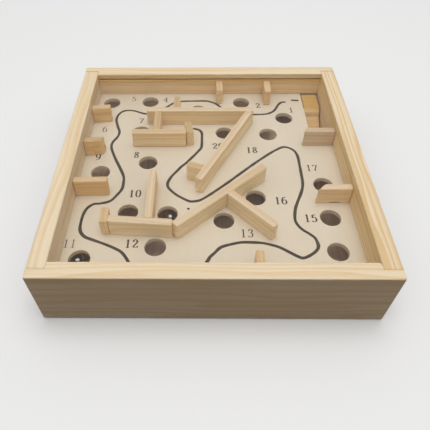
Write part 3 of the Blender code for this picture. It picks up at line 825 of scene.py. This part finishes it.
def ramp_rings():
    """Rings from the ramp's left side to its right: the profile, inset at both sides in a quarter circle.

    Over the last stretch on the right the back face comes forward by as much as the ring has gone on, which
    pares the upright corner away.
    """
    turn = np.linspace(0, pi / 2, 4)
    rise = RAMP_ARRIS * (1 - np.cos(turn))
    pare = np.linspace(ramp_high.x - RAMP_CORNER_CUT, ramp_high.x - RAMP_ARRIS, 4)[:-1]
    x = np.concatenate((ramp_low.x + rise, pare, ramp_high.x - rise[::-1]))
    edge_inset = RAMP_ARRIS * (1 - np.sin(turn))
    inset = np.concatenate((edge_inset, np.zeros(len(pare)), edge_inset[::-1]))
    pared = np.clip(x - (ramp_high.x - RAMP_CORNER_CUT), 0, None)
    size = np.array((ramp_low.y - ramp_high.y, ramp_high.z - ramp_low.z))
    profile = np.array((ramp_high.y, ramp_low.z)) + RAMP_PROFILE_SHARES * size
    ring = eased(profile, np.full(len(profile), RAMP_ARRIS))
    middle = (profile.min(axis=0) + profile.max(axis=0)) / 2
    half = (profile.max(axis=0) - profile.min(axis=0)) / 2
    rings = middle + (ring - middle) * (1 - inset[:, None, None] / half)
    depth = np.minimum(rings[..., 0], ramp_high.y - pared[:, None])
    return np.stack((np.broadcast_to(x[:, None], depth.shape), depth, rings[..., 1]), axis=-1)


ramp = make_piece("return_ramp_sawn", *carried(ramp_rings()), wood("ramp_pine", 2.2, 0.45, 0.6))
places = set_grain(ramp, (1, 0), RAMP_HEART)
step_foot = ramp_low.z + RAMP_PROFILE_SHARES[3, 1] * (ramp_high.z - ramp_low.z)
# The landing takes the painted shade, the step and slope their painted light.
lightened_colour = np.where(places[:, 2:] > step_foot, STEP_PAINTED_LIGHTER, SLOPE_PAINTED_LIGHTER)
set_colour(ramp, np.where(places[:, 2:] > ramp_high.z - RAMP_ARRIS, LANDING_PAINTED_DARKER, lightened_colour))
stand_for(ramp, "return_ramp")


# The two steel balls: polished bearing balls, 6 mm across, which have dropped through the holes and lie on
# the base panel below.
BALL_TURNS = 72
BALL_RINGS = 36


def polished_steel():
    """Bright steel with a haze of fine handling scratches that raise the roughness."""
    finish = Finish(bpy.data.materials.new("polished_steel"), Metallic=1.0)
    place = finish.scaled(finish.node("ShaderNodeTexCoord", output="Object"), (1 / MILLIMETRE,) * 3)
    haze = finish.noise(place, (0.8, 0.8, 0.8), 3.0)
    scratches = finish.noise(place, (0.5, 9.0, 4.0), 2.0).step(0.6, 0.75)
    finish.set("Base Color", finish.mixed(haze, (0.60, 0.61, 0.62, 1), (0.70, 0.70, 0.70, 1)))
    finish.set("Roughness", 0.14 + haze * 0.06 + scratches * 0.1)
    return finish.owner


steel = polished_steel()


def ball_rings(node):
    """Rings of a ball from its lowest point up: the sine of the rise wide, less its cosine high."""
    low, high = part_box(node)
    centre = np.array((low + high) / 2)
    radius = (high.z - low.z) / 2
    rise = np.linspace(0, pi, BALL_RINGS)[:, None]
    turn = np.linspace(0, 2 * pi, BALL_TURNS, endpoint=False)
    wide = np.sin(rise)
    unit = np.stack((wide * np.cos(turn), wide * np.sin(turn), -np.cos(rise) + 0 * turn), axis=-1)
    return centre + radius * unit


for node, body in (("first_steel_ball", "first_ball"), ("second_steel_ball", "second_ball")):
    ball = make_piece(node + "_polished", *carried(ball_rings(node)), steel)
    stand_for(ball, node, body)


# The clear cover: a sheet of clear plastic, 0.5 mm thick, slid into the rails' upper groove so that the
# balls stay in.
COVER_ARRIS = 0.0002
HEAD_ON_MIRROR = 0.016  # share of the light mirrored head on
GRAZING_MIRROR = 0.9  # added to it at the most slanting look


def clear_plastic():
    """Clear sheet that mirrors a little head on and far more at a slant, close to Schlick's rule."""
    finish = Finish(bpy.data.materials.new("clear_sheet"))
    facing = finish.node("ShaderNodeLayerWeight", None, {"Blend": 0.5}, output="Facing")
    mirrored = HEAD_ON_MIRROR + GRAZING_MIRROR * facing**5.0
    clear = finish.node("ShaderNodeBsdfTransparent", None, {"Color": (0.995, 0.995, 0.995, 1)})
    gloss = finish.node("ShaderNodeBsdfGlossy", None, {"Color": (1, 1, 1, 1), "Roughness": 0.06})
    sheet_shader = finish.node("ShaderNodeMixShader", None, {0: mirrored, 1: clear, 2: gloss})
    finish.feed(finish.output.inputs["Surface"], sheet_shader)
    return finish.owner


cover_rings = slab_rings(box_outline(cover_low, cover_high), cover_low.z, cover_high.z, COVER_ARRIS)
cover = make_piece("clear_cover_sheet", *carried(cover_rings), clear_plastic())
stand_for(cover, "clear_cover")


# The table: a plain pale floor that keeps the tray's shadow. Only what looks at it straight or in a mirror
# sees it pale: it throws little light back up at the tray. Far from the tray it glows to the sky's white.
FLOOR_RADIUS = 12.0
FLOOR_SIDES = 96
GLOW_START = 0.25  # how far from the tray's middle
GLOW_END = 1.3
BACKGROUND_STRENGTH = 0.93


def pale_floor():
    """A matt floor, pale to the camera and in mirrors, and a dull grey to all other light."""
    material = bpy.data.materials.new("pale_floor")
    finish = Finish(material, Roughness=0.9, Specular_IOR_Level=0.0, Emission_Strength=1.0)
    seen = finish.node("ShaderNodeLightPath", output="Is Camera Ray")
    mirrored = finish.node("ShaderNodeLightPath", output="Is Glossy Ray")
    shown = seen.math("MAXIMUM", seen, mirrored)
    place = finish.node("ShaderNodeTexCoord", output="Object")
    far = finish.node("ShaderNodeVectorMath", {"operation": "LENGTH"}, {0: place}, output="Value")
    glow = far.step(GLOW_START, GLOW_END)
    pale = finish.mixed(glow, (0.8, 0.8, 0.795, 1), (0, 0, 0, 1))
    finish.set("Base Color", finish.mixed(shown, (0.06, 0.06, 0.06, 1), pale))
    white = (*(BACKGROUND_STRENGTH,) * 3, 1)
    finish.set("Emission Color", finish.mixed(shown * glow, (0, 0, 0, 1), white))
    return finish.owner


floor_plan = circle((0, 0), FLOOR_RADIUS, FLOOR_SIDES)
floor_rim = np.concatenate((floor_plan, np.full((FLOOR_SIDES, 1), -FIT_GAP)), axis=1)
floor_mesh = bpy.data.meshes.new("floor")
floor_mesh.from_pydata(floor_rim, [], [list(range(FLOOR_SIDES))])
floor_mesh.materials.append(pale_floor())
floor = bpy.data.objects.new("floor", floor_mesh)
bpy.context.scene.collection.objects.link(floor)


# The light: a broad soft box straight above the tray, and a sky that is bright overhead and dim at the
# horizon. To the camera and in mirrors the sky is an even white.
HORIZON_STRENGTH = 0.05
ZENITH_STRENGTH = 0.9
LAMP_PLACE = (0.02, -0.01, 0.75)
LAMP_SIZE = (0.5, 0.4)
LAMP_POWER = 2.4
SEEN_RAYS = ("Camera", "Glossy", "Transmission")


def soft_box(name, place, target, size, power):
    """A rectangular lamp that faces the target, unseen in mirrors so that the cover stays clear."""
    lamp = bpy.data.lights.new(name, "AREA")
    lamp.shape = "RECTANGLE"
    lamp.size, lamp.size_y = size
    lamp.energy = power
    holder = bpy.data.objects.new(name, lamp)
    away = (Vector(place) - Vector(target)).to_track_quat("Z", "Y")
    holder.matrix_world = Matrix.Translation(place) @ away.to_matrix().to_4x4()
    holder.visible_glossy = False
    bpy.context.scene.collection.objects.link(holder)


soft_box("overhead_box", LAMP_PLACE, (0, 0, 0), LAMP_SIZE, LAMP_POWER)
sky = Finish(bpy.data.worlds.new("studio"), Color=(1, 1, 1, 1))
rays = [sky.node("ShaderNodeLightPath", output=f"Is {kind} Ray") for kind in SEEN_RAYS]
shown = rays[0].math("MAXIMUM", rays[0].math("MAXIMUM", *rays[:2]), rays[2])
sky_direction = sky.node("ShaderNodeTexCoord", output="Generated")
upward = sky.node("ShaderNodeSeparateXYZ", None, {0: sky_direction}, output="Z")
light = HORIZON_STRENGTH + (ZENITH_STRENGTH - HORIZON_STRENGTH) * upward.step(0.15, 0.85)
sky.set("Strength", shown * BACKGROUND_STRENGTH + (1 - shown) * light)
bpy.context.scene.world = sky.owner


# The view of the photograph: a camera in front of the box looks down on it at about 48 degrees, a little
# off level.
CAMERA_PLACE = Vector((-0.00381, -0.12803, 0.13953))
PITCH_DEGREES = 48.096
YAW_DEGREES = -1.253
ROLL_DEGREES = -0.869
PHOTO_SIDE_PX = 430
FOCAL_LENGTH_PX = 449.39
LENS_AXIS_X_PX = 194.17
LENS_AXIS_Y_PX = 198.84
SENSOR_WIDTH_MM = 36
NEAREST_SEEN = 0.01

pitch, yaw, roll = (radians(angle) for angle in (PITCH_DEGREES, YAW_DEGREES, ROLL_DEGREES))
forward = Vector((sin(yaw) * cos(pitch), cos(yaw) * cos(pitch), -sin(pitch)))
level_right = Vector((cos(yaw), -sin(yaw), 0))
level_up = level_right.cross(forward)
view_right = cos(roll) * level_right + sin(roll) * level_up
view_up = cos(roll) * level_up - sin(roll) * level_right
lens = bpy.data.cameras.new("photo_view")
lens.sensor_width = SENSOR_WIDTH_MM
lens.lens = FOCAL_LENGTH_PX / PHOTO_SIDE_PX * SENSOR_WIDTH_MM
lens.shift_x = 0.5 - LENS_AXIS_X_PX / PHOTO_SIDE_PX
lens.shift_y = LENS_AXIS_Y_PX / PHOTO_SIDE_PX - 0.5
lens.clip_start = NEAREST_SEEN
camera = bpy.data.objects.new("photo_view", lens)
turned = Matrix((view_right, view_up, -forward)).transposed().to_4x4()
camera.matrix_world = Matrix.Translation(CAMERA_PLACE) @ turned
bpy.context.scene.collection.objects.link(camera)
bpy.context.scene.camera = camera
bpy.context.scene.view_settings.view_transform = "Standard"
